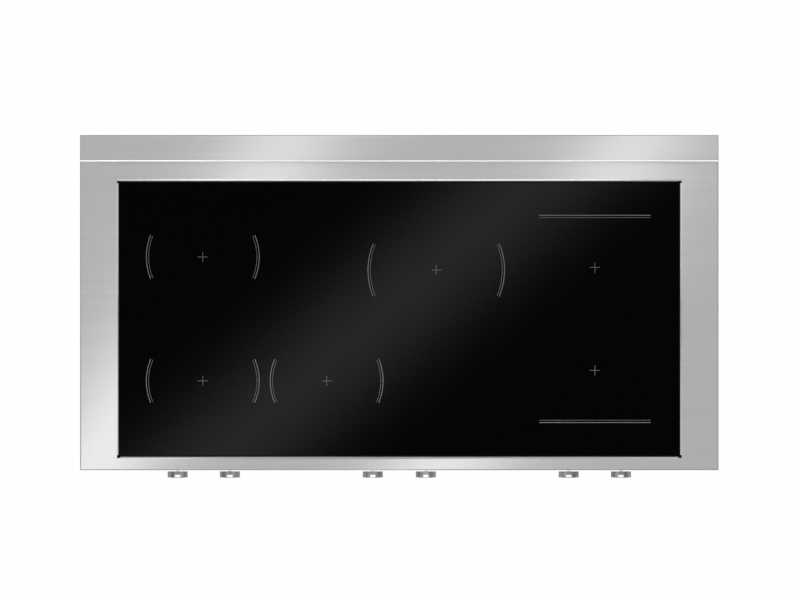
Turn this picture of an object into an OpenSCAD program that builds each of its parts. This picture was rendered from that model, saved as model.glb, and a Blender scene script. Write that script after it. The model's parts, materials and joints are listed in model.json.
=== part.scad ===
// Induction rangetop with six knobs, six cooking zones and a raised rear trim.
// Origin: centre of the footprint on the resting surface. +X right, +Y rear, +Z up.

/* [Deck] */
// Overall width of the deck
deck_w = 1216; // [1200:1:1230]
// Overall depth of the deck with its rear trim
deck_d = 638.6; // [630:0.1:650]
// Height of the deck's top above the resting surface
deck_h = 205; // [200:1:240]
// Thickness of the stainless sheet
sheet = 1.2; // [1:0.1:1.5]
// Height of the down-turned skirt round the deck
skirt_h = 28; // [20:1:40]
// Outside bend radius of the skirt
skirt_r = 2.4; // [1.6:0.1:4]
// Depth of the raised trim along the rear edge
trim_d = 51.4; // [45:0.1:60]
// Height of the rear trim above the deck
trim_h = 28; // [20:1:50]
// Radius of the rear trim's rolled front edge
trim_r = 3.8; // [2:0.1:6]
// Radius of the rear trim's other top edges
trim_edge_r = 1.8; // [1.6:0.1:3]

/* [Glass] */
// Width of the opening in the deck
opening_w = 1075; // [1060:1:1080]
// Depth of the opening in the deck
opening_d = 533.7; // [530:0.1:540]
// Deck in front of the opening
front_margin = 21.2; // [20:0.1:24]
// Depth of the glass surface below the deck
glass_drop = 4; // [2:0.1:4]
// Thickness of the glass
glass_t = 4; // [4:0.5:6]
// Width of the seal round the glass
seal_w = 1.2; // [0.8:0.1:2]
// Bend radius of the lips at the sides of the opening
lip_r_side = 3.2; // [2:0.1:4]
// Bend radius of the lip at the front of the opening
lip_r_front = 5.6; // [4:0.1:6]
// Bend radius of the lip at the rear of the opening
lip_r_rear = 5.4; // [3:0.1:6]
// Distance that the side lips stop short of each corner of the opening
notch = 8; // [6.5:0.5:10]

/* [Cooking zones] */
// Outer radius of the arcs of the three smaller round zones
zone_r = 107.5; // [100:0.5:110]
// Outer radius of the arcs of the large round zone
large_zone_r = 130; // [125:0.5:135]
// Half angle of each arc
arc_half = 22.7; // [15:0.1:30]
// Width of the brighter outer line of each pair
line_w = 1.2; // [0.8:0.1:1.6]
// Length of each centre cross
cross_l = 19; // [15:1:25]
// Depth of the fired print in the glass
print_t = 0.1; // [0.05:0.01:0.2]

/* [Knobs] */
// Knob diameter
knob_dia = 38; // [36:0.5:42]
// Knob length along its axis
knob_l = 12.2; // [10:0.1:16]
// Distance from the deck's front edge to the back of a knob
knob_gap = 2; // [1:0.1:4]
// Height of the knob axis above the resting surface
knob_z = 112; // [100:1:140]
// Width of the flat and the pointer at the top of a knob
pointer_w = 10; // [6:0.5:12]
// Length of the pointer along the knob's axis
pointer_l = 4.5; // [3:0.1:6]

/* [Inside] */
// Number of blades on each fan rotor
blades = 30; // [20:1:36]

/* [Hidden] */
$fn = 64;
eps = 0.01;

// Colours
steel = [0.74, 0.74, 0.75];
galvanised = [0.62, 0.64, 0.66];
black = [0.04, 0.04, 0.045];
print_grey = [0.75, 0.75, 0.76];
knob_grey = [0.5, 0.5, 0.52];
white = [0.95, 0.95, 0.95];
board_green = [0.1, 0.32, 0.2];
copper = [0.72, 0.4, 0.2];
brass = [0.78, 0.6, 0.28];
aluminium = [0.8, 0.81, 0.83];
mica = [0.83, 0.8, 0.7];

// Plan: y is measured rearwards from the deck's front edge
knob_reach = knob_gap + knob_l;
front_y = knob_reach - (deck_d + knob_reach) / 2;
half_w = deck_w / 2;
open_x = opening_w / 2;
open_y0 = front_margin;
open_y1 = front_margin + opening_d;
trim_y = deck_d - trim_d;
galv = 1;

// Heights
rail_h = 10;
pan_top = rail_h + sheet;
flange_top = rail_h + 22;
deck_under = deck_h - sheet;
skirt_z = deck_h - skirt_h;
glass_top = deck_h - glass_drop;
glass_bottom = glass_top - glass_t;
bed_t = 1;
ledge_t = 1.5;
ledge_top = glass_bottom - bed_t;
ledge_z = ledge_top - ledge_t;

// Glass outline inside the lips and the seal
glass_x = open_x - lip_r_side - seal_w;
glass_y0 = open_y0 + lip_r_front + seal_w;
glass_y1 = open_y1 - lip_r_rear - seal_w;

// Corner reliefs: width, and how far the front and rear lips bend before they start
notch_w = 6.5;
front_keep = 2.3;
rear_keep = 4;

// Support ledge under the glass
ledge_in = 17;
ledge_out = 6;
ledge_flange = 8;

// Casing planes
fascia_y = 4;
fascia_back = fascia_y + sheet;
panel_x = half_w - sheet;
panel_in = panel_x - galv;
rear_in = deck_d - sheet - galv;
rear_out = deck_d - sheet;
wall_top = deck_under - 1.2;

// Knobs: three pairs about 100 mm apart
knob_xs = [-422, -322.5, -50.5, 50.5, 322.5, 422];
knob_r = knob_dia / 2;
flat_z = sqrt(knob_r * knob_r - pointer_w * pointer_w / 4);
pointer_t = 1.2;
pointer_rim = 1.1;
spindle_r = 3;
spindle_gap = 0.05;
spindle_back = 17;
spindle_front = -knob_gap - 7;
flat_from = -knob_gap - 0.5;
d_flat = 2.2;
bezel_t = 2.5;
bezel_r = 21;
bracket_y = 14;
encoder_y = bracket_y + sheet;
board_y = 24;
board_t = 1.6;
control_half = 445;
control_h = 50;

// Coils: x, y, winding radius
coils = [
    [-374.2, 406.2, 100],
    [-374.2, 170.3, 100],
    [-138.3, 170.2, 100],
    [70.3, 381.3, 122],
    [372.4, 386.5, 94],
    [372.4, 190.3, 94]
];
ferrites = 8;
bridge_x = 372.5;
bridge_half = 106;
bridge_y0 = 91;
bridge_y1 = 485.6;
pair_gap = 4.4;
coil_in = 26;
mica_t = 1;
winding_t = 6;
former_t = 2;
ferrite_t = 5;
mica_z = glass_bottom - mica_t;
winding_z = mica_z - winding_t;
former_z = winding_z - former_t;
ferrite_z = former_z - ferrite_t;
carrier_top = 160;
carrier_t = 1.5;
carrier_y0 = 42;
carrier_y1 = 534;
spring_r = 7;
grommet_r = 8;
lead_r = 4;
lead_sides = 10;
bend_steps = 4;
lead_rows = [0, 1, 1, 0, 0, 1];

// Inverter units: one tray, board, blower and heatsink at each x
unit_xs = [-372, 0, 372];
unit_half = 165;
unit_y0 = 60;
unit_y1 = 440;
tray_t = 2;
tray_wall = 28;
tray_leg = 6;
tray_z = pan_top + tray_leg;
tray_top = tray_z + tray_t;
blower_y = 135;
blower_r = 66;
blower_h = 44;
blower_wall = 2;
inlet_r = 42;
duct_x0 = 6;
duct_y1 = 216;
rotor_r = 56;
rotor_z0 = tray_top + 5;
rotor_z1 = rotor_z0 + 27;
shaft_r = 2;
stator_r = 18;
board_z = tray_top + 8;
board_top = board_z + board_t;
board_half = 155;
board_y0 = 222;
board_y1 = 430;

// Filter board and supply connection at the rear
filter_x0 = -570;
filter_x1 = -310;
filter_y0 = 472;
filter_y1 = 606;
filter_z = 20;
term_x0 = 470;
term_x1 = 560;
term_y0 = 566;
term_y1 = 604;
term_h = 34;
conduit_x = (term_x0 + term_x1) / 2;
conduit_z = 62;
conduit_r = 13.3;
conduit_wall = 3.7;

// Screws
screw_head_r = 4;
screw_head_t = 1;
screw_r = 1.9;
screw_hole_r = 2.1;
screw_l = 7;
side_screw_ys = [60, 230, 400, 580];
rear_screw_xs = [-560, -280, 0, 280, 560];
screw_z = 21;
rail_xs = [-520, -190, 190, 520];
rail_y0 = 40;
rail_y1 = 600;
rail_hole_r = 3.3;
rail_hole_ys = [50, 540];

// ---------- Helpers ----------

// Moves children to x, to y rearwards from the deck's front edge, and to z
module place(x, y, z = 0) {
    translate([x, front_y + y, z]) children();
}

// Box between two x, two y (from the deck's front edge) and two z values
module slab(x0, x1, y0, y1, z0, z1) {
    place(x0, y0, z0) cube([x1 - x0, y1 - y0, z1 - z0]);
}

// Turns children so that their +Z runs rearwards along +Y
module rearwards() {
    rotate([-90, 0, 0]) children();
}

// Rectangle with its two top corners rounded, the left by r and the right by r2, standing on y = 0
module round_top(w, h, r, r2) {
    translate([-w / 2, 0]) square([w / 2 + eps, h - r]);
    translate([0, 0]) square([w / 2, h - r2]);
    translate([-w / 2 + r, 0]) square([w - r - r2, h]);
    translate([-w / 2 + r, h - r]) circle(r);
    translate([w / 2 - r2, h - r2]) circle(r2);
}

// Rectangle with its two top corners cut at 45 degrees, standing on y = 0
module chamfer_top(w, h, c) {
    polygon([[-w / 2, 0], [w / 2, 0], [w / 2, h - c], [w / 2 - c, h], [-w / 2 + c, h], [-w / 2, h - c]]);
}

// Box with rounded top edges, r at the front and edge_r at the other three sides, mitred at its corners
module round_block(w, d, h, r, edge_r) {
    intersection() {
        translate([0, d / 2, 0]) rotate([90, 0, 0]) linear_extrude(d) round_top(w, h, edge_r, edge_r);
        translate([-w / 2, 0, 0]) rotate([90, 0, 90]) linear_extrude(w) round_top(d, h, r, edge_r);
    }
}

// Box with a bevelled top edge all round
module chamfer_block(w, d, h, c) {
    intersection() {
        translate([0, d / 2, 0]) rotate([90, 0, 0]) linear_extrude(d) chamfer_top(w, h, c);
        translate([-w / 2, 0, 0]) rotate([90, 0, 90]) linear_extrude(w) chamfer_top(d, h, c);
    }
}

// Flat ring between two rectangles, each given as [x half width, y0, y1]
module frame_plate(outer, inner, z0, z1) {
    difference() {
        slab(-outer[0], outer[0], outer[1], outer[2], z0, z1);
        slab(-inner[0], inner[0], inner[1], inner[2], z0 - 1, z1 + 1);
    }
}

// Section of a lip: quarter bend from the deck's edge at the origin, then a leg down to depth
module lip_section(r, depth) {
    intersection() {
        translate([0, -r]) difference() {
            circle(r);
            circle(r - sheet);
        }
        translate([0, -r]) square([r, r]);
    }
    translate([r - sheet, -depth]) square([sheet, depth - r]);
}

// Row of slots along x: each slot is w wide and runs l along y
module slot_row(xs, y, w, l, z0, z1) {
    for (x = xs) slab(x - w / 2, x + w / 2, y - l / 2, y + l / 2, z0, z1);
}

// Unit vector along v
function unit(v) = v / norm(v);

// Point a share s of the way round the arc about c from a to b, which are sweep degrees apart
function on_arc(c, a, b, sweep, s) =
    c + ((a - c) * sin((1 - s) * sweep) + (b - c) * sin(s * sweep)) / sin(sweep);

// Points of a route with each corner turned into an arc of radius bend
function bent(route, bend) = [
    route[0],
    for (i = [1:len(route) - 2])
        let (u = unit(route[i - 1] - route[i]))
        let (v = unit(route[i + 1] - route[i]))
        let (half = acos(u * v) / 2)
        let (leg = bend / tan(half))
        let (c = route[i] + unit(u + v) * bend / sin(half))
        for (k = [0:bend_steps])
            on_arc(c, route[i] + u * leg, route[i] + v * leg, 180 - 2 * half, k / bend_steps),
    route[len(route) - 1]
];

// Direction of a path at point i
function heading(path, i) =
    i == 0 ? unit(path[1] - path[0])
    : i == len(path) - 1 ? unit(path[i] - path[i - 1])
    : unit(unit(path[i + 1] - path[i]) + unit(path[i] - path[i - 1]));

// Side vectors carried along a path without twist, one for each point from point i on
function sides_along(path, side, i = 0) =
    let (d = heading(path, i))
    let (level = unit(side - (side * d) * d))
    i == len(path) - 1 ? [level] : concat([level], sides_along(path, level, i + 1));

// Round lead along a route of points [x, y from the front, z], its corners bent to a radius
module lead(route, r, bend, side) {
    path = bent(route, bend);
    n = lead_sides;
    rows = sides_along(path, side);
    ring_points = [
        for (i = [0:len(path) - 1], k = [0:n - 1])
            path[i] + r * (cos(k * 360 / n) * rows[i] + sin(k * 360 / n) * cross(heading(path, i), rows[i]))
    ];
    walls = [
        for (i = [0:len(path) - 2], k = [0:n - 1])
            [i * n + k, (i + 1) * n + k, (i + 1) * n + (k + 1) % n, i * n + (k + 1) % n]
    ];
    last = (len(path) - 1) * n;
    ends = [[for (k = [0:n - 1]) k], [for (k = [0:n - 1]) last + n - 1 - k]];
    place(0, 0) polyhedron(ring_points, concat(walls, ends));
}

// Screw with its head against z = 0 and its shank running down to -screw_l
module pan_screw() {
    cylinder(h = screw_head_t, r = screw_head_r);
    translate([0, 0, -screw_l]) cylinder(h = screw_l + eps, r = screw_r);
}

// Puts children at each side screw, +Z pointing out of the casing, side -1 left or 1 right
module at_side_screws(side) {
    for (y = side_screw_ys) place(side * panel_x, y, screw_z) rotate([0, side * 90, 0]) children();
}

// Puts children at each rear screw, +Z pointing out of the casing
module at_rear_screws() {
    for (x = rear_screw_xs) place(x, rear_out, screw_z) rearwards() children();
}

// Clearance hole for one screw through the sheets behind its head
module screw_clearance() {
    translate([0, 0, -4]) cylinder(h = 6, r = screw_hole_r);
}

// ---------- Deck and glass ----------

// Lips bent down to the glass on all four sides, with a relief at each corner
module deck_lips() {
    depth = deck_h - ledge_top;
    side_l = opening_d - 2 * notch;
    front_l = opening_w - 0.8;
    for (side = [0, 1]) mirror([side, 0, 0])
        place(-open_x, open_y0 + notch + side_l, deck_h) rotate([90, 0, 0])
            linear_extrude(side_l) lip_section(lip_r_side, depth);
    difference() {
        union() {
            place(-front_l / 2, open_y0, deck_h) rotate([90, 0, 90])
                linear_extrude(front_l) lip_section(lip_r_front, depth);
            place(front_l / 2, open_y1, deck_h) rotate([90, 0, -90])
                linear_extrude(front_l) lip_section(lip_r_rear, depth);
        }
        for (side = [0, 1]) mirror([side, 0, 0])
            slab(-open_x - 1, -open_x + notch_w, open_y0 + front_keep, open_y1 - rear_keep,
                 ledge_top - 1, deck_h + 1);
    }
}

// Air slots in the deck that open into the rear trim
module deck_vents(z0, z1) {
    slot_row([for (i = [-34:34]) i * 16], deck_d - trim_d / 2, 10, 26, z0, z1);
}

module deck_frame() color(steel) {
    difference() {
        place(0, deck_d / 2, skirt_z) round_block(deck_w, deck_d, skirt_h, skirt_r, skirt_r);
        place(0, deck_d / 2, skirt_z - 1)
            round_block(deck_w - 2 * sheet, deck_d - 2 * sheet, skirt_h + 1 - sheet,
                        skirt_r - sheet, skirt_r - sheet);
        slab(-open_x, open_x, open_y0, open_y1, skirt_z, deck_h + 1);
        deck_vents(skirt_z, deck_h + 1);
    }
    deck_lips();
}

module rear_trim() color(steel) difference() {
    place(0, trim_y + trim_d / 2, deck_h) round_block(deck_w, trim_d, trim_h, trim_r, trim_edge_r);
    place(0, trim_y + trim_d / 2, deck_h - 1)
        round_block(deck_w - 2 * sheet, trim_d - 2 * sheet, trim_h + 1 - sheet,
                    trim_r - sheet, trim_edge_r - sheet);
    for (i = [-45:45]) slab(i * 12.5 - 4, i * 12.5 + 4, trim_y - 1, trim_y + 3, deck_h + 8, deck_h + 12);
    for (i = [-45:45]) slab(i * 12.5 - 4, i * 12.5 + 4, trim_y - 1, trim_y + 3, deck_h + 15, deck_h + 19);
}

// One arc line at each side of a zone's centre
module arc_line(r, w) {
    reach = r + w;
    intersection() {
        difference() {
            circle(r + w / 2, $fn = 128);
            circle(r - w / 2, $fn = 128);
        }
        union() for (side = [-1, 1])
            polygon([
                [0, 0],
                [side * reach * 1.2, -reach * 1.2 * tan(arc_half)],
                [side * reach * 1.2, reach * 1.2 * tan(arc_half)]
            ]);
    }
}

// All printed lines in plan, y from the deck's front edge
module zone_lines() {
    inner_w = line_w * 0.5;
    cross_w = line_w * 0.6;
    for (c = coils) translate([c[0], c[1]]) {
        square([cross_l, cross_w], center = true);
        square([cross_w, cross_l], center = true);
    }
    for (i = [0:3]) {
        r = i == 3 ? large_zone_r : zone_r;
        translate([coils[i][0], coils[i][1]]) {
            arc_line(r, line_w);
            arc_line(r - pair_gap, inner_w);
        }
    }
    for (y = [bridge_y0, bridge_y1])
        translate([bridge_x, y]) square([2 * bridge_half, line_w], center = true);
    for (y = [bridge_y0 + pair_gap, bridge_y1 - pair_gap])
        translate([bridge_x, y]) square([2 * bridge_half, inner_w], center = true);
}

module zone_print() color(print_grey)
    place(0, 0, glass_top - print_t) linear_extrude(print_t) zone_lines();

module glass_panel() color(black) difference() {
    place(0, (glass_y0 + glass_y1) / 2, glass_bottom)
        chamfer_block(2 * glass_x, glass_y1 - glass_y0, glass_t, 0.6);
    place(0, 0, glass_top - print_t) linear_extrude(print_t + 1) zone_lines();
}

// Gasket: bed under the glass rim, strip round its edge and a plug in each corner relief
module glass_seal() color([0.02, 0.02, 0.02]) {
    bed_in = 12;
    strip_top = glass_top - 0.5;
    plugs = [[open_y0 + front_keep, open_y0 + notch], [open_y1 - notch, open_y1 - rear_keep]];
    frame_plate([glass_x + seal_w, glass_y0 - seal_w, glass_y1 + seal_w],
                [glass_x - bed_in, glass_y0 + bed_in, glass_y1 - bed_in], ledge_top, glass_bottom);
    frame_plate([glass_x + seal_w, glass_y0 - seal_w, glass_y1 + seal_w],
                [glass_x, glass_y0, glass_y1], ledge_top, strip_top);
    difference() {
        for (side = [0, 1], y = plugs) mirror([side, 0, 0])
            slab(-open_x, -open_x + notch_w, y[0], y[1], ledge_top, strip_top);
        slab(-glass_x, glass_x, glass_y0, glass_y1, glass_bottom, deck_h);
    }
}

module glass_support_frame() color(galvanised) {
    wall_x = open_x + ledge_out;
    wall_y0 = open_y0 - ledge_out;
    wall_y1 = open_y1 + ledge_out;
    frame_plate([wall_x, wall_y0, wall_y1],
                [open_x - ledge_in, open_y0 + ledge_in, open_y1 - ledge_in], ledge_z, ledge_top);
    frame_plate([wall_x, wall_y0, wall_y1],
                [wall_x - ledge_t, wall_y0 + ledge_t, wall_y1 - ledge_t], ledge_z, deck_under);
    frame_plate([wall_x + ledge_flange, wall_y0 - ledge_flange, wall_y1 + ledge_flange],
                [wall_x - ledge_t, wall_y0 + ledge_t, wall_y1 - ledge_t], deck_under - ledge_t, deck_under);
}

// ---------- Casing ----------

module front_fascia() color(steel) difference() {
    union() {
        slab(-half_w, half_w, fascia_y, fascia_back, rail_h, skirt_z);
        slab(-panel_in, panel_in, fascia_y, fascia_back, skirt_z - eps, deck_under - 2);
        for (side = [0, 1]) mirror([side, 0, 0])
            slab(panel_x, half_w, fascia_back - eps, fascia_y + 24, rail_h, skirt_z);
    }
    for (x = knob_xs) place(x, fascia_y - 1, knob_z) rearwards() cylinder(h = sheet + 2, r = 5.5);
}

module side_panel(side) color(galvanised) difference() {
    union() {
        slab(side > 0 ? panel_in : -panel_x, side > 0 ? panel_x : -panel_in,
             fascia_back, rear_out, rail_h, wall_top);
        slab(side > 0 ? panel_in - 14 : -panel_in, side > 0 ? panel_in : -panel_in + 14,
             fascia_back + 2, rear_in - 2, deck_under - 1.5, deck_under);
    }
    at_side_screws(side) screw_clearance();
    for (y = [330:14:560], z = [110:16:158])
        slab(side * half_w - 6, side * half_w + 6, y, y + 9, z, z + 3.5);
}

module rear_panel() color(galvanised) difference() {
    slab(-panel_in, panel_in, rear_in, rear_out, rail_h, wall_top);
    at_rear_screws() screw_clearance();
    place(conduit_x, rear_in - 1, conduit_z) rearwards()
        cylinder(h = galv + 2, r = conduit_r + conduit_wall + 0.2);
    for (i = [-24:12], z = [100:14:156])
        slab(i * 20 - 7, i * 20 + 7, rear_in - 1, rear_out + 1, z, z + 3.5);
}

module base_pan() color(galvanised) {
    difference() {
        slab(-panel_in, panel_in, fascia_back, rear_in, rail_h, flange_top);
        slab(-panel_in + sheet, panel_in - sheet, fascia_back + sheet, rear_in - sheet,
             pan_top, flange_top + 1);
        for (x = unit_xs, dx = [-39:6.5:39]) {
            reach = sqrt(inlet_r * inlet_r - dx * dx);
            slab(x + dx - 1.75, x + dx + 1.75, blower_y - reach, blower_y + reach, rail_h - 1, pan_top + 1);
        }
        at_side_screws(-1) screw_clearance();
        at_side_screws(1) screw_clearance();
        at_rear_screws() screw_clearance();
        for (x = [rail_xs[0], rail_xs[3]], y = rail_hole_ys)
            place(x, y, rail_h - 1) cylinder(h = sheet + 2, r = 6.5);
    }
    for (x = [filter_x0 + 10, filter_x1 - 10], y = [filter_y0 + 10, filter_y1 - 10])
        place(x, y, pan_top - eps) cylinder(h = filter_z - pan_top + eps, r = 4);
}

module base_rails() color(galvanised) {
    wall = 1.5;
    foot = 20;
    flange = 14;
    for (i = [0:3]) difference() {
        place(rail_xs[i], rail_y1, 0) rotate([90, 0, 0]) linear_extrude(rail_y1 - rail_y0) difference() {
            union() {
                translate([-foot, 0]) square([2 * foot, rail_h]);
                translate([-foot - flange, rail_h - wall]) square([2 * (foot + flange), wall]);
            }
            translate([-foot + wall, wall]) square([2 * (foot - wall), rail_h]);
        }
        if (i == 0 || i == 3) for (y = rail_hole_ys)
            place(rail_xs[i], y, -1) cylinder(h = wall + 2, r = rail_hole_r);
    }
}

// ---------- Controls ----------

// Section of a knob: z is measured from its back face, with a raised middle and a hollow back
module knob_section() {
    edge = 0.6;
    rise = 0.7;
    middle_r = 12.5;
    rim_l = knob_l - rise;
    hub_r = 7;
    wall = 2.4;
    cavity = 7.5;
    difference() {
        union() {
            square([knob_r - edge, rim_l]);
            square([knob_r, rim_l - edge]);
            translate([knob_r - edge, rim_l - edge]) circle(edge);
            polygon([[0, 0], [middle_r + rise, 0], [middle_r + rise, rim_l], [middle_r, knob_l],
                     [0, knob_l]]);
        }
        translate([hub_r, -1]) square([knob_r - wall - hub_r, cavity + 1]);
        translate([-1, -1]) square([1, knob_l + 2]);
    }
}

// Space taken by the pointer at the top of knob i
module pointer_space(i, extra) {
    front = -knob_gap - knob_l + pointer_rim;
    slab(knob_xs[i - 1] - pointer_w / 2, knob_xs[i - 1] + pointer_w / 2, front, front + pointer_l,
         knob_z + flat_z - pointer_t, knob_z + flat_z + extra);
}

// Spindle with a flat on its front end
module spindle_shape(x) {
    difference() {
        place(x, spindle_front, knob_z) rearwards()
            cylinder(h = spindle_back - spindle_front, r = spindle_r);
        slab(x - 5, x + 5, spindle_front - 1, flat_from, knob_z + d_flat, knob_z + 5);
    }
}

module knob(i) color(knob_grey) difference() {
    place(knob_xs[i - 1], -knob_gap, knob_z) rotate([90, 0, 0]) rotate_extrude($fn = 96) knob_section();
    slab(knob_xs[i - 1] - pointer_w, knob_xs[i - 1] + pointer_w, -knob_reach - 1, 0,
         knob_z + flat_z, knob_z + knob_r + 1);
    pointer_space(i, 2);
    spindle_shape(knob_xs[i - 1]);
}

module pointer(i) color(white) pointer_space(i, 0);

module spindle(i) color(galvanised) spindle_shape(knob_xs[i - 1]);

module knob_bezels() color([0.12, 0.12, 0.13]) for (x = knob_xs)
    place(x, fascia_y - bezel_t, knob_z) rearwards() difference() {
        union() {
            translate([0, 0, 1]) cylinder(h = bezel_t - 1, r = bezel_r);
            cylinder(h = bezel_t, r = bezel_r - 1);
        }
        translate([0, 0, -1]) cylinder(h = bezel_t + 2, r = 6);
        translate([0, 0, -1]) difference() {
            cylinder(h = 1.8, r = 17);
            cylinder(h = 1.8, r = 9);
        }
    }

module encoders() color([0.25, 0.27, 0.3]) for (x = knob_xs) {
    bush_l = 6;
    nut_t = 2;
    difference() {
        union() {
            slab(x - 8, x + 8, encoder_y, board_y, knob_z - 8, knob_z + 8);
            place(x, encoder_y - bush_l, knob_z) rearwards() cylinder(h = bush_l + eps, r = 4.5);
        }
        place(x, 0, knob_z) rearwards() cylinder(h = spindle_back + 0.2, r = spindle_r + spindle_gap);
    }
    place(x, bracket_y - nut_t, knob_z) rearwards() difference() {
        cylinder(h = nut_t, r = 7, $fn = 6);
        translate([0, 0, -1]) cylinder(h = nut_t + 2, r = 4.5);
    }
}

module control_bracket() color(galvanised) {
    z0 = knob_z - control_h / 2;
    z1 = knob_z + control_h / 2;
    difference() {
        slab(-control_half, control_half, bracket_y, encoder_y, z0, z1);
        for (x = knob_xs) place(x, bracket_y - 1, knob_z) rearwards() cylinder(h = sheet + 2, r = 4.6);
    }
    slab(-control_half, control_half, encoder_y - eps, board_y, z0, z0 + sheet);
    slab(-control_half, control_half, encoder_y - eps, board_y, z1 - sheet, z1);
    for (side = [0, 1]) mirror([side, 0, 0]) {
        slab(control_half - sheet, control_half, fascia_back, bracket_y + eps, z0, z1);
        slab(control_half - eps, control_half + 14, fascia_back, fascia_back + sheet, z0, z1);
    }
}

module control_board() color(board_green) {
    z0 = knob_z - control_h / 2;
    slab(-control_half, control_half, board_y, board_y + board_t, z0, z0 + control_h);
    for (x = [-372, -186, 0, 186, 372])
        slab(x - 9, x + 9, board_y + board_t - eps, board_y + board_t + 3, knob_z - 9, knob_z + 9);
}

// ---------- Coils ----------

// Sheet tray that hangs from the glass support ledge, with a hole for the lead of each of its coils
module coil_carrier(x0, x1, members) color(aluminium) {
    foot = 10;
    difference() {
        slab(x0, x1, carrier_y0, carrier_y1, carrier_top - carrier_t, carrier_top);
        for (i = members) {
            place(coils[i][0] + 14, coils[i][1], carrier_top - 3) cylinder(h = 6, r = grommet_r);
            for (a = [45:90:315]) place(coils[i][0], coils[i][1], carrier_top - 3)
                rotate([0, 0, a]) translate([coils[i][2] * 0.42, 0, 0]) cylinder(h = 6, r = 10);
        }
    }
    for (y = [carrier_y0, carrier_y1 - carrier_t])
        slab(x0, x1, y, y + carrier_t, carrier_top - eps, ledge_z);
    slab(x0, x1, carrier_y0 - foot, carrier_y0 + eps, ledge_z - carrier_t, ledge_z);
    slab(x0, x1, carrier_y1 - eps, carrier_y1 + foot, ledge_z - carrier_t, ledge_z);
}

// Puts children at four spring seats under each coil
module at_spring_seats() {
    for (c = coils) place(c[0], c[1], 0) for (a = [22.5:90:292.5])
        rotate([0, 0, a]) translate([c[2] - 16, 0, 0]) children();
}

// Compression springs drawn as a closed bellows: a wall that zigzags once for each turn
module coil_springs() color([0.55, 0.56, 0.58]) {
    turns = 6;
    wave = 1.2;
    wall = 0.8;
    pitch = (former_z - carrier_top) / turns;
    outer = [for (t = [0:2 * turns]) [spring_r - (t % 2) * wave, t * pitch / 2]];
    inner = [for (t = [2 * turns:-1:0]) [spring_r - wall - (t % 2) * wave, t * pitch / 2]];
    at_spring_seats() translate([0, 0, carrier_top]) rotate_extrude($fn = 32) polygon(concat(outer, inner));
}

module coil_formers() color([0.16, 0.16, 0.17]) {
    for (c = coils) place(c[0], c[1], former_z) difference() {
        union() {
            cylinder(h = former_t, r = c[2] + 2, $fn = 96);
            difference() {
                cylinder(h = former_t + winding_t, r = c[2] + 2, $fn = 96);
                translate([0, 0, former_t]) cylinder(h = winding_t + 1, r = c[2] + 0.4, $fn = 96);
            }
            cylinder(h = former_t + winding_t, r = coil_in - 2);
        }
        translate([0, 0, -1]) cylinder(h = former_t + winding_t + 2, r = 20);
        for (a = [22.5:45:337.5]) rotate([0, 0, a]) translate([c[2] * 0.62, 0, -1])
            cylinder(h = former_t + 2, r = 6);
    }
    at_spring_seats() translate([0, 0, former_z - 4]) difference() {
        cylinder(h = 4 + eps, r = spring_r + 3, $fn = 32);
        translate([0, 0, -1]) cylinder(h = 5, r = spring_r + 1, $fn = 32);
    }
}

module coil_ferrites() color([0.13, 0.12, 0.12]) {
    bar_w = 14;
    for (c = coils, i = [0:ferrites - 1]) place(c[0], c[1], ferrite_z)
        rotate([0, 0, i * 360 / ferrites]) translate([coil_in, -bar_w / 2, 0])
            cube([c[2] - coil_in - 4, bar_w, ferrite_t]);
}

// Flat winding with a rounded ridge for each turn
module coil_windings() color(copper) {
    pitch = 5;
    for (c = coils) place(c[0], c[1], winding_z) rotate_extrude($fn = 96) {
        turns = floor((c[2] - coil_in) / pitch);
        translate([coil_in, 1]) square([turns * pitch, winding_t - 2]);
        for (t = [0:turns - 1]) translate([coil_in + (t + 0.5) * pitch, winding_t / 2]) difference() {
            circle(winding_t / 2, $fn = 24);
            translate([pitch / 2, -winding_t]) square([winding_t, 2 * winding_t]);
            translate([-pitch / 2 - winding_t, -winding_t]) square([winding_t, 2 * winding_t]);
        }
    }
}

module coil_insulators() color(mica) for (c = coils) place(c[0], c[1], mica_z) difference() {
    cylinder(h = mica_t, r = c[2] + 4, $fn = 96);
    translate([0, 0, -1]) cylinder(h = mica_t + 2, r = 8);
}

// Temperature sensor on a post at the middle of each coil
module coil_sensors() color(white) for (c = coils) place(c[0], c[1], 0) {
    translate([0, 0, glass_bottom - 5]) cylinder(h = 5, r = 6);
    translate([0, 0, carrier_top]) cylinder(h = glass_bottom - 4 - carrier_top, r = 3);
}

// ---------- Power electronics ----------

module inverter_trays() color([0.3, 0.31, 0.33]) for (x = unit_xs) {
    difference() {
        slab(x - unit_half, x + unit_half, unit_y0, unit_y1, tray_z, tray_top + tray_wall);
        slab(x - unit_half + tray_t, x + unit_half - tray_t, unit_y0 + tray_t, unit_y1 - tray_t,
             tray_top, tray_top + tray_wall + 1);
        place(x, blower_y, tray_z - 1) cylinder(h = tray_t + 2, r = inlet_r + 2);
    }
    for (dx = [-1, 1], y = [unit_y0 + 12, unit_y1 - 12])
        place(x + dx * (unit_half - 12), y, pan_top) cylinder(h = tray_leg + eps, r = 6);
    for (dx = [-1, 1], y = [board_y0 + 10, board_y1 - 10])
        place(x + dx * (board_half - 10), y, tray_top - eps) cylinder(h = board_z - tray_top + eps, r = 4);
}

module inverter_boards() color(board_green) for (x = unit_xs)
    slab(x - board_half, x + board_half, board_y0, board_y1, board_z, board_top);

module heatsinks() color(aluminium) {
    sink_w = 66;
    sink_l = 190;
    sink_h = 40;
    base_t = 6;
    fins = 12;
    fin_t = 1.6;
    for (x = unit_xs) place(x + duct_x0, board_y0 + 8 + sink_l, board_top)
        rotate([90, 0, 0]) linear_extrude(sink_l) {
            square([sink_w, base_t]);
            for (i = [0:fins - 1])
                translate([i * (sink_w - fin_t) / (fins - 1), 0]) square([fin_t, sink_h]);
        }
}

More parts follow.
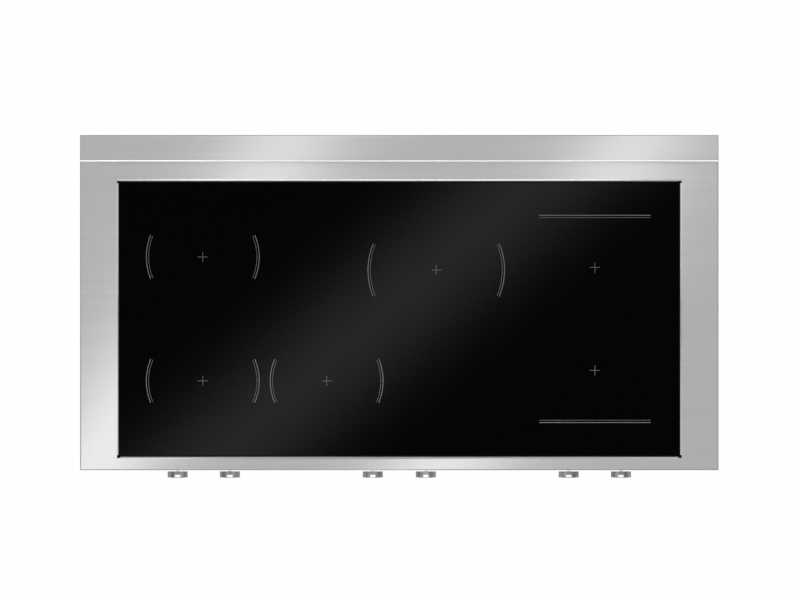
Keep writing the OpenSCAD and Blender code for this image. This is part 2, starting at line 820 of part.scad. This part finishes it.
// Upright capacitor at x, y on a board whose top is at z
module can_capacitor(x, y, z, r, h) {
    place(x, y, z) cylinder(h = h - 2, r = r, $fn = 32);
    place(x, y, z + h - 2 - eps) cylinder(h = 2, r = r - 1.2, $fn = 32);
}

// Ring choke lying on a board
module ring_choke(x, y, z) {
    place(x, y, z) rotate_extrude($fn = 48) translate([14, 0]) square([11, 16]);
}

// Row of box parts on a board: count of them, step apart along y or along x
module box_row(x0, x1, y0, y1, z, h, count, step, along_x = false) {
    for (i = [0:count - 1]) {
        dx = along_x ? i * step : 0;
        dy = along_x ? 0 : i * step;
        slab(x0 + dx, x1 + dx, y0 + dy, y1 + dy, z, z + h);
    }
}

module power_components() color([0.2, 0.2, 0.22]) {
    for (x = unit_xs) {
        for (i = [0:2]) can_capacitor(x - 135, board_y0 + 35 + i * 32, board_top, 12, 34);
        box_row(x - 105, x - 62, board_y0 + 25, board_y0 + 61, board_top, 32, 3, 50);
        ring_choke(x - 28, board_y0 + 50, board_top);
        box_row(x - 10, x + duct_x0 - 0.5, board_y0 + 90, board_y0 + 106, board_top, 22, 4, 26);
        box_row(x + 90, x + 122, board_y0 + 30, board_y0 + 48, board_top, 20, 3, 46);
    }
    filter_top = filter_z + board_t;
    ring_choke(filter_x0 + 45, filter_y0 + 45, filter_top);
    ring_choke(filter_x0 + 110, filter_y0 + 45, filter_top);
    box_row(filter_x0 + 150, filter_x0 + 174, filter_y0 + 25, filter_y0 + 75, filter_top, 28, 3, 32, true);
    box_row(filter_x0 + 30, filter_x0 + 62, filter_y0 + 92, filter_y0 + 118, filter_top, 18, 4, 55, true);
}

// Blower casing in plan: scroll and outlet duct, grown inwards by inset
module blower_plan(inset) {
    circle(blower_r - inset, $fn = 96);
    translate([duct_x0 + inset, 0]) square([blower_r - duct_x0 - 2 * inset, duct_y1 - blower_y]);
}

module fan_housings() color([0.1, 0.1, 0.11]) for (x = unit_xs) {
    difference() {
        place(x, blower_y, tray_top) linear_extrude(blower_h) blower_plan(0);
        place(x, blower_y, tray_top + blower_wall)
            linear_extrude(blower_h - 2 * blower_wall) blower_plan(blower_wall);
        slab(x + duct_x0 + blower_wall, x + blower_r - blower_wall, duct_y1 - 4, duct_y1 + 1,
             tray_top + blower_wall, tray_top + blower_h - blower_wall);
        place(x, blower_y, tray_top - 1) cylinder(h = blower_wall + 2, r = inlet_r);
    }
    place(x, blower_y, rotor_z1 + 1) difference() {
        cylinder(h = tray_top + blower_h - blower_wall - rotor_z1 - 1 + eps, r = stator_r);
        translate([0, 0, -1]) cylinder(h = 7, r = shaft_r + spindle_gap);
    }
}

module fan_rotor(i) color([0.16, 0.16, 0.18]) place(unit_xs[i - 1], blower_y, 0) {
    blade_l = 13;
    plate_t = 1.6;
    ring_w = 3;
    translate([0, 0, rotor_z0]) linear_extrude(rotor_z1 - rotor_z0) for (b = [0:blades - 1])
        rotate(b * 360 / blades) translate([rotor_r - blade_l, 0]) rotate(18) square([blade_l - 0.6, 1.2]);
    translate([0, 0, rotor_z1 - plate_t]) cylinder(h = plate_t, r = rotor_r);
    translate([0, 0, rotor_z0]) difference() {
        cylinder(h = plate_t, r = rotor_r);
        translate([0, 0, -1]) cylinder(h = plate_t + 2, r = rotor_r - ring_w);
    }
    translate([0, 0, rotor_z1 - 8]) cylinder(h = 8, r1 = 6, r2 = 14);
    translate([0, 0, rotor_z1 - 1]) cylinder(h = 6, r = shaft_r);
}

// ---------- Supply connection ----------

module filter_board() color(board_green)
    slab(filter_x0, filter_x1, filter_y0, filter_y1, filter_z, filter_z + board_t);

// Puts children over each of the four terminals
module at_terminals() {
    for (i = [0:3]) place(term_x0 + 13 + i * 21.3, (term_y0 + term_y1) / 2, pan_top + 20) children();
}

module terminal_block() color([0.08, 0.08, 0.09]) difference() {
    slab(term_x0, term_x1, term_y0, term_y1, pan_top, pan_top + term_h);
    at_terminals() translate([-9, -term_y1, 0]) cube([18, 2 * term_y1, term_h]);
    at_terminals() translate([0, 0, -12]) cylinder(h = 14, r = 2.5);
}

module terminal_screws() color(brass) at_terminals() {
    cylinder(h = 3.5, r = 5, $fn = 32);
    translate([0, 0, -10]) cylinder(h = 10 + eps, r = 2.5);
}

module terminal_cover() color(galvanised) {
    x0 = term_x0 - 16;
    x1 = term_x1 + 16;
    y0 = term_y0 - 18;
    top = 98;
    difference() {
        slab(x0, x1, y0, rear_in, pan_top, top);
        slab(x0 + galv, x1 - galv, y0 + galv, rear_in + 1, pan_top - 1, top - galv);
        slab(x0 - 1, x1 + 1, rear_in - sheet - 0.3, rear_in + 1, pan_top - 1, flange_top + 0.3);
        place(x0 - 1, (y0 + rear_in) / 2 - 10, pan_top + 14) rotate([0, 90, 0]) cylinder(h = 6, r = 9);
    }
    slab(x0 - 12, x0 + eps, y0, rear_in - 20, pan_top, pan_top + galv);
    slab(x1 - eps, x1 + 12, y0, rear_in - 20, pan_top, pan_top + galv);
}

module conduit_bushing() color([0.5, 0.51, 0.53]) place(conduit_x, 0, conduit_z) difference() {
    union() {
        translate([0, deck_d - 18, 0]) rearwards() cylinder(h = 18, r = conduit_r + conduit_wall);
        translate([0, rear_out, 0]) rearwards() cylinder(h = sheet, r = conduit_r + 8);
        translate([0, rear_in - 5, 0]) rearwards() cylinder(h = 5, r = conduit_r + 9, $fn = 12);
    }
    translate([0, deck_d - 19, 0]) rearwards() cylinder(h = 20, r = conduit_r);
}

// Supply lead and three board leads along the rear, one rise to each coil and one control lead
module wiring_harness() color([0.75, 0.25, 0.1]) {
    low_z = pan_top + 14;
    over_z = 62;
    rise_z = 120;
    bend = 12;
    across = [0, 1, 0];
    supply_y = 502;
    supply_x = term_x0 - 60;
    entry_y = (term_y0 - 18 + rear_in) / 2 - 10;
    lead([[filter_x1 + 1, supply_y, low_z], [supply_x, supply_y, low_z], [supply_x, supply_y, over_z],
          [supply_x, entry_y, over_z], [supply_x, entry_y, low_z], [term_x0 - 8, entry_y, low_z]],
         lead_r + 1, bend, across);
    for (i = [0:2]) {
        row_y = supply_y + 16 + i * 11;
        drop_x = unit_xs[i] + 140;
        drop_y = board_y1 - 12;
        lead([[filter_x1 + 1, row_y, low_z], [drop_x, row_y, low_z], [drop_x, row_y, over_z],
              [drop_x, drop_y, over_z], [drop_x, drop_y, board_top]], lead_r, bend, across);
    }
    for (i = [0:5]) {
        start_x = unit_xs[floor(i / 2)] - 80;
        start_y = board_y1 - 24 - 14 * lead_rows[i];
        coil_x = coils[i][0] + 14;
        lead([[start_x, start_y, board_top], [start_x, start_y, rise_z], [coil_x, coils[i][1], rise_z],
              [coil_x, coils[i][1], former_z + 2]], lead_r - 1, bend, [1, 0, 0]);
    }
    control_x = -100;
    control_y = board_y0 + 15;
    lead([[control_x, board_y + board_t, knob_z], [control_x, 48, knob_z], [control_x, 48, over_z + 16],
          [control_x, control_y, over_z + 16], [control_x, control_y, board_top]],
         lead_r - 1, bend, [1, 0, 0]);
}

module case_screws() color([0.6, 0.61, 0.63]) {
    at_side_screws(-1) pan_screw();
    at_side_screws(1) pan_screw();
    at_rear_screws() pan_screw();
}

// ---------- Assembly ----------

deck_frame();
rear_trim();
glass_panel();
zone_print();
glass_seal();
glass_support_frame();
front_fascia();
side_panel(-1);  // left_side_panel
side_panel(1);  // right_side_panel
rear_panel();
base_pan();
base_rails();
for (i = [1:6]) knob(i);
for (i = [1:6]) pointer(i);
for (i = [1:6]) spindle(i);
knob_bezels();
encoders();
control_bracket();
control_board();
coil_carrier(-486, -262, [0, 1]);  // coil_carrier_left
coil_carrier(-252, 205, [2, 3]);  // coil_carrier_centre
coil_carrier(262, 484, [4, 5]);  // coil_carrier_right
coil_springs();
coil_formers();
coil_ferrites();
coil_windings();
coil_insulators();
coil_sensors();
inverter_trays();
inverter_boards();
heatsinks();
power_components();
fan_housings();
for (i = [1:3]) fan_rotor(i);
filter_board();
terminal_block();
terminal_screws();
terminal_cover();
conduit_bushing();
wiring_harness();
case_screws();
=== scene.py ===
# Induction rangetop: materials, softened edges, camera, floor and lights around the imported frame.
import json
import math

import bpy
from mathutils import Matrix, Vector

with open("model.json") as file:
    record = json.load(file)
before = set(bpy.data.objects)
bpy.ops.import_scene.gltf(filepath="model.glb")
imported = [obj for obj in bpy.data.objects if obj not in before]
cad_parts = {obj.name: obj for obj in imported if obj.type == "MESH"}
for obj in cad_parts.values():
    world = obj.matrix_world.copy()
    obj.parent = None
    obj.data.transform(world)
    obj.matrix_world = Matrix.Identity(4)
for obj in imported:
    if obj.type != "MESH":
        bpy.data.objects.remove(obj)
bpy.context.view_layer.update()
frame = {"nodes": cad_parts, "record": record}
NODES = frame["nodes"]
SCENE = bpy.context.scene

# Lengths are in metres
FRAME_W = 1.5231          # width of the picture at the object
FRAME_CENTRE_X = 0.0013   # middle of the picture, measured from the origin
FRAME_CENTRE_Y = 0.0121
CAMERA_Z = 4.0
CAMERA_CLIP = 20.0
EDGE_RADIUS = 0.0008      # softening of the sheet metal's sharp edges
GLASS_BEVEL = 0.0004
WELD_DISTANCE = 0.00001
SHARP_ANGLE = math.radians(50)    # least angle of an edge that is bevelled


# ---------- Node helpers ----------

class Graph:
    """Builds a material's node tree, one named step at a time."""

    def __init__(self, name):
        self.material = bpy.data.materials.new(name)
        self.material.use_nodes = True
        self.tree = self.material.node_tree
        self.tree.nodes.clear()
        self.output = self.tree.nodes.new("ShaderNodeOutputMaterial")
        self.shader = self.tree.nodes.new("ShaderNodeBsdfPrincipled")
        self.link(self.shader.outputs["BSDF"], self.output.inputs["Surface"])
        coords = self.tree.nodes.new("ShaderNodeTexCoord")
        self.place = coords.outputs["Object"]

    def link(self, source, target):
        self.tree.links.new(source, target)

    def set(self, **values):
        for key, value in values.items():
            self.shader.inputs[key.replace("_", " ")].default_value = value

    def scaled(self, scale):
        mapping = self.tree.nodes.new("ShaderNodeMapping")
        mapping.inputs["Scale"].default_value = scale
        self.link(self.place, mapping.inputs["Vector"])
        return mapping.outputs["Vector"]

    def noise(self, scale, detail=4.0, rough=0.55):
        node = self.tree.nodes.new("ShaderNodeTexNoise")
        node.inputs["Scale"].default_value = 1.0
        node.inputs["Detail"].default_value = detail
        node.inputs["Roughness"].default_value = rough
        self.link(self.scaled(scale), node.inputs["Vector"])
        return node.outputs["Fac"]

    def cells(self, scale):
        node = self.tree.nodes.new("ShaderNodeTexVoronoi")
        node.inputs["Scale"].default_value = 1.0
        self.link(self.scaled(scale), node.inputs["Vector"])
        return node.outputs["Color"]

    def ramp(self, source, low, high, start=0.35, stop=0.65):
        node = self.tree.nodes.new("ShaderNodeMapRange")
        node.inputs["From Min"].default_value = start
        node.inputs["From Max"].default_value = stop
        node.inputs["To Min"].default_value = low
        node.inputs["To Max"].default_value = high
        self.link(source, node.inputs["Value"])
        return node.outputs["Result"]

    def blend(self, share, first, second):
        node = self.tree.nodes.new("ShaderNodeMix")
        node.data_type = "RGBA"
        self.link(share, node.inputs["Factor"])
        node.inputs["A"].default_value = (*first, 1.0)
        node.inputs["B"].default_value = (*second, 1.0)
        return node.outputs["Result"]

    def math(self, operation, first, second):
        node = self.tree.nodes.new("ShaderNodeMath")
        node.operation = operation
        for socket, value in zip(node.inputs, (first, second)):
            if isinstance(value, (int, float)):
                socket.default_value = value
            else:
                self.link(value, socket)
        return node.outputs["Value"]

    def weigh(self, first, second, share):
        """Mix of two patterns, with the given share of the first."""
        rest = self.math("MULTIPLY", second, 1.0 - share)
        return self.math("ADD", self.math("MULTIPLY", first, share), rest)

    def split(self, vector):
        node = self.tree.nodes.new("ShaderNodeSeparateXYZ")
        self.link(vector, node.inputs["Vector"])
        return node

    def bump(self, height, strength, distance, edge_radius=0.0):
        """Relief from a pattern, on top of softened edges where a radius is given."""
        node = self.tree.nodes.new("ShaderNodeBump")
        node.inputs["Strength"].default_value = strength
        node.inputs["Distance"].default_value = distance
        if edge_radius > 0.0:
            rounding = self.tree.nodes.new("ShaderNodeBevel")
            rounding.inputs["Radius"].default_value = edge_radius
            self.link(rounding.outputs["Normal"], node.inputs["Normal"])
        self.link(height, node.inputs["Height"])
        self.link(node.outputs["Normal"], self.shader.inputs["Normal"])

    def glow_through(self, level):
        """Replaces the surface by a see-through one that adds light of the given level."""
        glow = self.tree.nodes.new("ShaderNodeEmission")
        clear = self.tree.nodes.new("ShaderNodeBsdfTransparent")
        both = self.tree.nodes.new("ShaderNodeAddShader")
        self.link(level, glow.inputs["Strength"])
        self.link(glow.outputs["Emission"], both.inputs[0])
        self.link(clear.outputs["BSDF"], both.inputs[1])
        self.link(both.outputs["Shader"], self.output.inputs["Surface"])


def grey(level):
    return (level, level, level * 1.01)


def even_scale(scale):
    return (scale, scale, scale)


# ---------- Materials ----------

# Cells per metre of the grain along X, Y and Z
FINE_STREAKS = (5.0, 1100.0, 1100.0)
WIDE_STREAKS = (1.5, 160.0, 160.0)
TURNING_MARKS = (900.0, 240.0, 900.0)


def brushed_steel(name, level, rough, grain=1.0, edge_radius=0.0):
    """Stainless sheet: fine streaks along X in colour, roughness and bump, with faint cloudy variation."""
    g = Graph(name)
    fine = g.noise(FINE_STREAKS, 3.0, 0.6)
    wide = g.noise(WIDE_STREAKS, 2.0, 0.5)
    cloud = g.noise(even_scale(2.2), 2.0, 0.5)
    mixed = g.weigh(fine, wide, 0.6)
    darker = grey(level * (1 - 0.07 * grain))
    lighter = grey(level * (1 + 0.05 * grain))
    g.link(g.blend(g.ramp(mixed, 0.0, 1.0), darker, lighter), g.shader.inputs["Base Color"])
    uneven = g.math("ADD", g.ramp(mixed, -0.05 * grain, 0.05 * grain), g.ramp(cloud, -0.02, 0.02))
    g.link(g.math("ADD", uneven, rough), g.shader.inputs["Roughness"])
    g.set(Metallic=1.0)
    g.bump(mixed, 0.12 * grain, 0.0002, edge_radius)
    return g.material


def galvanised(name):
    """Zinc-coated sheet with a faint crystalline spangle."""
    g = Graph(name)
    flakes = g.cells(even_scale(70.0))
    cloud = g.noise(even_scale(6.0), 3.0)
    share = g.weigh(flakes, cloud, 0.5)
    zinc = g.blend(g.ramp(share, 0.0, 1.0, 0.2, 0.8), (0.44, 0.46, 0.48), (0.60, 0.62, 0.64))
    g.link(zinc, g.shader.inputs["Base Color"])
    g.link(g.ramp(share, 0.34, 0.52, 0.2, 0.8), g.shader.inputs["Roughness"])
    g.set(Metallic=0.9)
    g.bump(cloud, 0.08, 0.0003, EDGE_RADIUS)
    return g.material


def black_glass(name):
    """Polished black glass-ceramic with a very slight unevenness of polish."""
    g = Graph(name)
    haze = g.noise(even_scale(9.0), 3.0)
    speck = g.noise(even_scale(420.0), 2.0)
    black = g.blend(g.ramp(speck, 0.0, 1.0, 0.45, 0.75), (0.0016, 0.0016, 0.0018), (0.0024, 0.0024, 0.0026))
    g.link(black, g.shader.inputs["Base Color"])
    g.link(g.ramp(haze, 0.035, 0.055), g.shader.inputs["Roughness"])
    g.set(IOR=1.5)
    return g.material


def turned_metal(name, level, rough, edge=1.0, glow=0.0):
    """Satin turned metal with a slight grain; edge tints its grazing reflections, glow is a painted glow (an
    emission) that brightens it though it is no lamp.
    """
    g = Graph(name)
    grain = g.noise(TURNING_MARKS, 3.0, 0.6)
    cloud = g.noise(even_scale(60.0), 2.0)
    mixed = g.weigh(grain, cloud, 0.7)
    colour = g.blend(g.ramp(mixed, 0.0, 1.0), grey(level * 0.9), grey(level * 1.1))
    g.link(colour, g.shader.inputs["Base Color"])
    g.link(g.ramp(mixed, rough - 0.04, rough + 0.05), g.shader.inputs["Roughness"])
    # Emission_Strength from glow is painted light: the metal gives off light though it is no lamp.
    g.set(Metallic=1.0, Emission_Strength=glow)
    g.shader.inputs["Specular Tint"].default_value = (edge, edge, edge, 1.0)
    g.shader.inputs["Emission Color"].default_value = (1.0, 1.0, 1.0, 1.0)
    g.bump(grain, 0.15, 0.0001)
    return g.material


def moulded(name, colour, rough, texture=0.25, metal=0.0, glow=0.0):
    """Moulded or coated surface with a fine even texture; glow is a painted glow (an emission in its own
    colour) that brightens a bright white, though it is no lamp.
    """
    g = Graph(name)
    fine = g.noise(even_scale(1400.0), 2.0)
    cloud = g.noise(even_scale(25.0), 3.0)
    darker = tuple(0.88 * c for c in colour)
    lighter = tuple(min(1.0, 1.1 * c) for c in colour)
    g.link(g.blend(g.ramp(cloud, 0.0, 1.0), darker, lighter), g.shader.inputs["Base Color"])
    g.link(g.ramp(fine, rough - 0.05, rough + 0.06), g.shader.inputs["Roughness"])
    # Emission_Strength from glow is painted light in the surface's own colour, not a lamp.
    g.set(Metallic=metal, Emission_Strength=glow)
    g.shader.inputs["Emission Color"].default_value = (*colour, 1.0)
    g.bump(fine, texture, 0.00005)
    return g.material


def circuit_board(name):
    """Green solder mask over a faint maze of copper tracks."""
    g = Graph(name)
    tracks = g.cells(even_scale(260.0))
    cloud = g.noise(even_scale(30.0), 2.0)
    share = g.weigh(tracks, cloud, 0.7)
    mask = g.blend(g.ramp(share, 0.0, 1.0, 0.45, 0.55), (0.012, 0.075, 0.035), (0.03, 0.15, 0.07))
    g.link(mask, g.shader.inputs["Base Color"])
    g.link(g.ramp(cloud, 0.28, 0.4), g.shader.inputs["Roughness"])
    g.bump(tracks, 0.1, 0.00005)
    return g.material


MATERIALS = {
    "deck_steel": brushed_steel("deck_steel", 0.66, 0.33, grain=0.65),
    "trim_steel": brushed_steel("trim_steel", 0.66, 0.33, grain=0.65),
    "fascia_steel": brushed_steel("fascia_steel", 0.66, 0.33, edge_radius=EDGE_RADIUS),
    "galvanised": galvanised("galvanised"),
    "black_glass": black_glass("black_glass"),
    "zone_print": moulded("zone_print", (0.33, 0.33, 0.33), 0.45),
    "seal_silicone": moulded("seal_silicone", (0.008, 0.008, 0.008), 0.6),
    "knob_metal": turned_metal("knob_metal", 0.38, 0.34, edge=0.25),
    # pointer_white has a painted glow: its emission brightens the white pointer, which is no lamp.
    "pointer_white": moulded("pointer_white", (0.96, 0.96, 0.96), 0.3, 0.05, glow=0.2),
    # spindle_steel has a painted glow: its emission makes the steel spindle look bright white, though it is
    # no lamp.
    "spindle_steel": turned_metal("spindle_steel", 0.90, 0.45, glow=0.45),
    "bezel_black": moulded("bezel_black", (0.03, 0.03, 0.032), 0.22, 0.05),
    "component_plastic": moulded("component_plastic", (0.04, 0.04, 0.045), 0.5),
    "tray_plastic": moulded("tray_plastic", (0.09, 0.09, 0.10), 0.55),
    "circuit_board": circuit_board("circuit_board"),
    "carrier_aluminium": turned_metal("carrier_aluminium", 0.72, 0.4),
    "spring_steel": turned_metal("spring_steel", 0.5, 0.28),
    "former_plastic": moulded("former_plastic", (0.03, 0.03, 0.035), 0.5),
    "ferrite": moulded("ferrite", (0.03, 0.028, 0.028), 0.7),
    "copper_litz": moulded("copper_litz", (0.72, 0.33, 0.15), 0.35, 0.4, metal=1.0),
    "mica": moulded("mica", (0.62, 0.56, 0.42), 0.6),
    "sensor_ceramic": moulded("sensor_ceramic", (0.85, 0.85, 0.82), 0.5),
    "brass_terminal": turned_metal("brass_terminal", 0.6, 0.3),
    "lead_insulation": moulded("lead_insulation", (0.42, 0.05, 0.02), 0.45),
    "screw_zinc": turned_metal("screw_zinc", 0.62, 0.3),
}
SLOT_OF = {row["node"]: row["material_slot"] for row in frame["record"]["subparts"]}


def dress_nodes():
    """Gives every CAD node the material of its slot."""
    for name, node in NODES.items():
        for slot in node.material_slots:
            slot.material = MATERIALS[SLOT_OF[name]]


def soften_edges(names, width):
    """Bevels the sharp edges of CAD nodes, which the import leaves split."""
    for name in names:
        weld = NODES[name].modifiers.new("weld", "WELD")
        weld.merge_threshold = WELD_DISTANCE
        bevel = NODES[name].modifiers.new("bevel", "BEVEL")
        bevel.width = width
        bevel.segments = 2
        bevel.limit_method = "ANGLE"
        bevel.angle_limit = SHARP_ANGLE
        even = NODES[name].modifiers.new("even", "WEIGHTED_NORMAL")
        even.weight = 100


# ---------- Stage ----------

FLOOR_HALF = 7.0
FLOOR_Z = -0.0005     # just under the feet
FLOOR_GLOW = 0.97
BAND_EDGE = 0.6065    # share of a band's level that is left at its half width, as on a bell curve

# Radiance of the dome against the sine of the elevation
DOME_LEVELS = [(0.0, 0.30), (0.30, 0.45), (0.42, 0.38), (0.55, 0.12), (0.88, 0.04), (1.0, 0.03)]

# Round wall of soft light that only the glass reflects, in views from the side
WALL_R = 2.2
WALL_LOW = 0.4
WALL_HIGH = 1.4
WALL_LEVEL = 0.7
WALL_SIDES = 48

# Card that only the glass reflects, seen from above as one soft diagonal band
GLASS_CARD_HALF = (0.8, 0.55)
GLASS_CARD_Z = 1.6
GLASS_BAND_ANGLE = math.radians(41.3)
GLASS_BANDS = [(0.010, 0.075, 0.44)]

# Card that the steel reflects, with a hole that keeps the lips round the glass dark
STEEL_CARD_HALF = (0.88, 0.60)
STEEL_HOLE_HALF = (0.38, 0.10)
STEEL_CARD_Z = 0.56
STEEL_LEVEL = 0.62
STEEL_FADE = 0.6
STEEL_BAND_ANGLE = math.radians(59.4)
STEEL_BANDS = [(-0.2275, 0.055, 0.84), (0.3446, 0.055, 0.84)]

QUAD = [(0, 1, 2, 3)]
RING = [(0, 1, 5, 4), (1, 2, 6, 5), (2, 3, 7, 6), (3, 0, 4, 7)]

GLASS_NODES = ["glass_panel", "zone_print", "glass_seal"]
DECK_NODES = ["deck_frame", "rear_trim"]
OTHER_NODES = [name for name in NODES if name not in GLASS_NODES + DECK_NODES]
KEY_NODES = [name for name in OTHER_NODES if name != "front_fascia"] + ["zone_print"]

# Area lights: name, place, target, size, power, and the nodes that they reach
AREA_LIGHTS = [
    ("lip_glow", (0.0, 0.0, 0.50), (0.0, 1.0, 0.50), (0.86, 0.18), 1.4, ["deck_frame"]),
    ("trim_key", (0.0, -1.8, 1.2), (0.0, 0.0, 0.25), (2.6, 1.6), 27.0, ["rear_trim"]),
    ("front_key", (0.0, -1.9, 1.7), (0.0, 0.0, 0.15), (2.6, 0.9), 40.0, KEY_NODES),
]


def add_camera():
    data = bpy.data.cameras.new("camera")
    data.type = "ORTHO"
    data.ortho_scale = FRAME_W
    data.clip_end = CAMERA_CLIP
    camera = bpy.data.objects.new("camera", data)
    camera.location = (FRAME_CENTRE_X, FRAME_CENTRE_Y, CAMERA_Z)
    SCENE.collection.objects.link(camera)
    SCENE.camera = camera


def flat_piece(name, corners, faces, material):
    """Stage piece built from its corners."""
    mesh = bpy.data.meshes.new(name)
    mesh.from_pydata(corners, [], faces)
    mesh.materials.append(material)
    obj = bpy.data.objects.new(name, mesh)
    SCENE.collection.objects.link(obj)
    return obj


def floor_material():
    """Pale floor that glows just enough to stay white under the soft light."""
    g = Graph("floor_white")
    cloud = g.noise(even_scale(3.0), 2.0)
    g.link(g.blend(g.ramp(cloud, 0.0, 1.0), grey(0.11), grey(0.13)), g.shader.inputs["Base Color"])
    g.set(Roughness=0.9, Specular_IOR_Level=0.1)
    g.shader.inputs["Emission Color"].default_value = (1.0, 1.0, 1.0, 1.0)
    g.shader.inputs["Emission Strength"].default_value = FLOOR_GLOW
    return g.material


def band_light(name, base, angle, bands, fade=0.0):
    """See-through overhead light: an even base level with soft straight bands, seen only in reflections.

    The bands run at the given angle to the X axis, and each is (offset across the bands, half width, level).
    Their level falls by the share fade for each metre towards the rear.
    """
    g = Graph(name)
    g.tree.nodes.remove(g.shader)
    turn = g.tree.nodes.new("ShaderNodeMapping")
    turn.vector_type = "POINT"
    turn.inputs["Rotation"].default_value = (0.0, 0.0, -angle)
    g.link(g.place, turn.inputs["Vector"])
    across = g.split(turn.outputs["Vector"]).outputs["Y"]
    rearwards = g.split(g.place).outputs["Y"]
    gain = g.math("SUBTRACT", 1.0, g.math("MULTIPLY", rearwards, fade))
    total = 0.0
    for offset, width, height in bands:
        away = g.math("DIVIDE", g.math("SUBTRACT", across, offset), width)
        fall = g.math("POWER", BAND_EDGE, g.math("MULTIPLY", away, away))
        total = g.math("ADD", g.math("MULTIPLY", fall, height), total)
    level = g.math("ADD", g.math("MULTIPLY", total, gain), base)
    g.glow_through(level)
    return g.material


def wall_light(name, low, high, level):
    """See-through light whose level falls softly from its lower edge to its upper edge."""
    g = Graph(name)
    g.tree.nodes.remove(g.shader)
    rise = g.ramp(g.split(g.place).outputs["Z"], 1.0, 0.0, low, high)
    g.glow_through(g.math("MULTIPLY", g.math("MULTIPLY", rise, rise), level))
    return g.material


def light_only(source, receivers):
    """Lets a light or a glowing card reach only the named nodes."""
    lit = bpy.data.collections.new(source.name + "_lit")
    for node in receivers:
        lit.objects.link(NODES[node])
    source.light_linking.receiver_collection = lit


def card(name, corners, faces, material, receivers):
    """Glowing card or wall that only reflections can see, built from its corners."""
    obj = flat_piece(name, corners, faces, material)
    obj.visible_camera = False
    obj.visible_shadow = False
    light_only(obj, receivers)


def rectangle(half_x, half_y, z):
    return [(-half_x, -half_y, z), (half_x, -half_y, z), (half_x, half_y, z), (-half_x, half_y, z)]


def ring_of(radius, z):
    angles = [2 * math.pi * i / WALL_SIDES for i in range(WALL_SIDES)]
    return [(radius * math.cos(angle), radius * math.sin(angle), z) for angle in angles]


def area_light(name, place, target, size, power):
    data = bpy.data.lights.new(name, "AREA")
    data.shape = "RECTANGLE"
    data.size, data.size_y = size
    data.energy = power
    light = bpy.data.objects.new(name, data)
    light.location = place
    light.rotation_mode = "QUATERNION"
    light.rotation_quaternion = (Vector(target) - Vector(place)).to_track_quat("-Z", "Y")
    light.visible_camera = False
    SCENE.collection.objects.link(light)
    return light


def studio_world():
    """White to the camera; to the object, a soft dome that is bright low down and dark overhead."""
    world = bpy.data.worlds.new("studio")
    SCENE.world = world
    world.use_nodes = True
    tree = world.node_tree
    tree.nodes.clear()
    output = tree.nodes.new("ShaderNodeOutputWorld")
    dome = tree.nodes.new("ShaderNodeBackground")
    backdrop = tree.nodes.new("ShaderNodeBackground")
    backdrop.inputs["Color"].default_value = (1.0, 1.0, 1.0, 1.0)
    path = tree.nodes.new("ShaderNodeLightPath")
    mix = tree.nodes.new("ShaderNodeMixShader")
    coords = tree.nodes.new("ShaderNodeTexCoord")
    split = tree.nodes.new("ShaderNodeSeparateXYZ")
    ramp = tree.nodes.new("ShaderNodeValToRGB")
    while len(ramp.color_ramp.elements) < len(DOME_LEVELS):
        ramp.color_ramp.elements.new(0.5)
    for element, (position, level) in zip(ramp.color_ramp.elements, DOME_LEVELS):
        element.position = position
        element.color = (level, level, level, 1.0)
    links = tree.links
    links.new(coords.outputs["Generated"], split.inputs["Vector"])
    links.new(split.outputs["Z"], ramp.inputs["Fac"])
    links.new(ramp.outputs["Color"], dome.inputs["Color"])
    links.new(path.outputs["Is Camera Ray"], mix.inputs["Fac"])
    links.new(dome.outputs["Background"], mix.inputs[1])
    links.new(backdrop.outputs["Background"], mix.inputs[2])
    links.new(mix.outputs["Shader"], output.inputs["Surface"])


def build_floor():
    flat_piece("floor", rectangle(FLOOR_HALF, FLOOR_HALF, FLOOR_Z), QUAD, floor_material())


def build_glass_lights():
    bands = band_light("glass_light", 0.0, GLASS_BAND_ANGLE, GLASS_BANDS)
    card("glass_card", rectangle(*GLASS_CARD_HALF, GLASS_CARD_Z), QUAD, bands, GLASS_NODES)
    wall = ring_of(WALL_R, WALL_LOW) + ring_of(WALL_R, WALL_HIGH)
    faces = []
    for i in range(WALL_SIDES):
        following = (i + 1) % WALL_SIDES
        faces.append((i, following, following + WALL_SIDES, i + WALL_SIDES))
    falling = wall_light("wall_light", WALL_LOW, WALL_HIGH, WALL_LEVEL)
    card("glass_wall", wall, faces, falling, GLASS_NODES)


def build_steel_light():
    bands = band_light("steel_light", STEEL_LEVEL, STEEL_BAND_ANGLE, STEEL_BANDS, fade=STEEL_FADE)
    ring = rectangle(*STEEL_CARD_HALF, STEEL_CARD_Z) + rectangle(*STEEL_HOLE_HALF, STEEL_CARD_Z)
    card("steel_card", ring, RING, bands, DECK_NODES + OTHER_NODES)


def build_area_lights():
    for name, place, target, size, power, receivers in AREA_LIGHTS:
        light_only(area_light(name, place, target, size, power), receivers)


add_camera()
dress_nodes()
soften_edges(["glass_panel"], GLASS_BEVEL)
build_floor()
build_glass_lights()
build_steel_light()
build_area_lights()
studio_world()
SCENE.view_settings.view_transform = "Standard"
